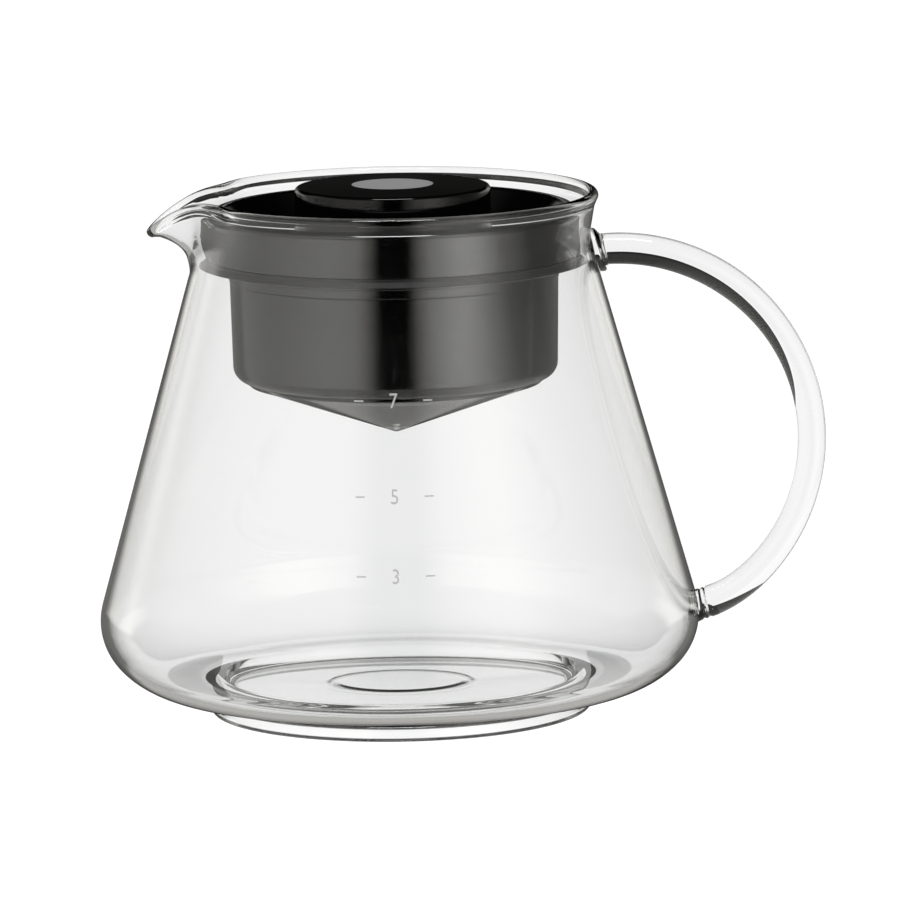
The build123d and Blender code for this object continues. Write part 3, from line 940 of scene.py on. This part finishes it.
def mirrored(rays, shader):
    """1 for light that some surface has mirrored on its way, 0 for light that glass only bent."""
    return shader.wire(rays, "Glossy Depth").at_most(1.0)


def stage_piece(name, mesh, finish):
    """A part of the studio, which is not part of the object."""
    piece = linked(name, mesh)
    piece.data.materials.append(finish)


def floor():
    """White where it is looked at, plain cloth for shadows, and absent in mirrored light."""
    shader = Shader(bpy.data.materials.new("studio_floor"))
    rays = shader.node("ShaderNodeLightPath", {}, {})
    camera = shader.wire(rays, "Is Camera Ray")
    seen = (camera + shader.wire(rays, "Is Transmission Ray")).at_most(1.0)
    cloth = shader.node("ShaderNodeBsdfDiffuse", {}, {"Color": grey(0.8)})
    glow = shader.node(
        "ShaderNodeEmission", {}, {"Color": grey(1.0), "Strength": camera * FLOOR_GLARE + FLOOR_GLOW},
    )
    bright = shader.mixed(cloth, glow, seen * FLOOR_SHARE)
    absent = shader.node("ShaderNodeBsdfTransparent", {}, {})
    finish = shader.end("ShaderNodeOutputMaterial", shader.mixed(bright, absent, mirrored(rays, shader)))
    mesh = bmesh.new()
    bmesh.ops.create_circle(mesh, cap_ends=True, segments=128, radius=FLOOR_R)
    bmesh.ops.translate(mesh, verts=mesh.verts[:], vec=(0, 0, -FLOOR_UNDER * MM))
    stage_piece("floor", mesh, finish)


def low_card():
    """Brightens what the base mirrors. Light that nothing has mirrored passes through it."""
    shader = Shader(bpy.data.materials.new("studio_card"))
    rays = shader.node("ShaderNodeLightPath", {}, {})
    clear = shader.node("ShaderNodeBsdfTransparent", {}, {})
    white = shader.node("ShaderNodeEmission", {}, {"Color": grey(1.0), "Strength": CARD_BRIGHT})
    finish = shader.end("ShaderNodeOutputMaterial", shader.mixed(clear, white, mirrored(rays, shader)))
    mesh = bmesh.new()
    card = bmesh.ops.create_grid(mesh, x_segments=1, y_segments=1, size=0.5)["verts"]
    bmesh.ops.scale(mesh, verts=card, vec=(CARD_WIDE, CARD_HIGH, 1))
    bmesh.ops.rotate(mesh, verts=card, cent=(0, 0, 0), matrix=Matrix.Rotation(radians(90), 3, "X"))
    bmesh.ops.translate(mesh, verts=card, vec=(0, CARD_AWAY, CARD_HIGH / 2))
    stage_piece("low_card", mesh, finish)


def rises(shader, value, span):
    """0 below the span, 1 above it, smooth between."""
    return shader.wire(shader.node(
        "ShaderNodeMapRange", {"interpolation_type": "SMOOTHSTEP"},
        {"Value": value, "From Min": span[0], "From Max": span[1]},
    ))


def sky():
    """White where it is looked at, directly or through glass; a light tent where it is mirrored."""
    world = bpy.data.worlds.new("studio")
    bpy.context.scene.world = world
    shader = Shader(world)
    rays = shader.node("ShaderNodeLightPath", {}, {})
    place = shader.node("ShaderNodeTexCoord", {}, {})
    split = shader.node("ShaderNodeSeparateXYZ", {}, {"Vector": shader.wire(place, "Generated")})
    x, y, z = (shader.wire(split, axis) for axis in "XYZ")
    aside = x.maths("ARCTAN2", x, 0.0 - y) * (0.5 / pi) + 0.5
    stops = [((angle + 180) / 360, grey(share)) for angle, share in TENT_STOPS]
    round_tent = shader.node("ShaderNodeValToRGB", {"stops": stops}, {"Fac": aside})
    turned_away = (aside - 0.5).unsigned() * 360.0
    back = rises(shader, turned_away, BEHIND)
    no_gap = 1.0 - rises(shader, turned_away, BEHIND_GAP)
    high = rises(shader, z, BEHIND_TOP)
    wall = rises(shader, z - y * CLOTH_RISE, TENT_FOOT)
    behind = back * no_gap * rises(shader, z, BEHIND_FOOT) * (1.0 - high) * BEHIND_BRIGHT
    share = shader.wire(round_tent) * wall + (1.0 - wall) * TENT_CLOTH
    share = share * (1.0 - back * high) + behind
    tent = share * (1.0 - rises(shader, z, TENT_TOP) * (1 - TENT_ROOF)) * TENT_BRIGHT
    ends = rises(shader, z + x.at_most(0.0) * TURNED_LEFT, HORIZON)
    backdrop = 1.0 - ends * (1 - BACKDROP_TOP)
    camera = shader.wire(rays, "Is Camera Ray")
    through = shader.wire(rays, "Is Transmission Ray") * (1.0 - mirrored(rays, shader))
    seen = camera + through * backdrop
    white = shader.node("ShaderNodeBackground", {}, {"Color": grey(1.0), "Strength": seen})
    cloth = shader.node("ShaderNodeBackground", {}, {"Color": TENT_COLOUR, "Strength": tent})
    shader.end("ShaderNodeOutputWorld", shader.mixed(white, cloth, 1.0 - camera - through))


def softbox(name, radiance, width, height, azimuth, elevation):
    """Area lamp that faces the carafe. Azimuth 0 is in front (-Y), positive towards +X."""
    lamp = bpy.data.lights.new(name, "AREA")
    lamp.shape = "RECTANGLE"
    lamp.size = width
    lamp.size_y = height
    lamp.energy = radiance * pi * width * height
    lamp.color = (1, 1, 1)
    holder = bpy.data.objects.new(name, lamp)
    bpy.context.scene.collection.objects.link(holder)
    a, e = radians(azimuth), radians(elevation)
    place = Vector((sin(a) * cos(e), -cos(a) * cos(e), sin(e))) * LAMPS_AWAY
    holder.location = place + LAMPS_MEET
    holder.rotation_euler = (-place).to_track_quat("-Z", "Y").to_euler()
    holder.visible_camera = False


LENS = 384.0
SENSOR = 36.0
AWAY = 2.3616
TILT = 9.081                # degrees that it looks downwards
ROLL = 0.932                # degrees that it is turned about its own axis
AIM = Vector((0.01303, 0, 0.06407))


def place_camera():
    """Camera in front of the carafe, AWAY from the point it is aimed at."""
    camera = bpy.data.cameras.new("camera")
    camera.lens = LENS
    camera.sensor_width = SENSOR
    camera.clip_end = 50
    holder = bpy.data.objects.new("camera", camera)
    bpy.context.scene.collection.objects.link(holder)
    bpy.context.scene.camera = holder
    ahead = Vector((0, cos(radians(TILT)), -sin(radians(TILT))))
    right = Vector((1, 0, 0))
    upward = right.cross(ahead)
    a = radians(ROLL)
    across = cos(a) * right - sin(a) * upward
    up = sin(a) * right + cos(a) * upward
    turned = Matrix((across, up, -ahead)).transposed()
    holder.matrix_world = Matrix.Translation(AIM - AWAY * ahead) @ turned.to_4x4()


floor()
low_card()
sky()
softbox("softbox_top", radiance=12, width=0.7, height=0.22, azimuth=0, elevation=78)
softbox("softbox_back", radiance=0.52, width=0.034, height=0.07, azimuth=180.35, elevation=9.9)
place_camera()
bpy.context.scene.view_settings.view_transform = "Standard"
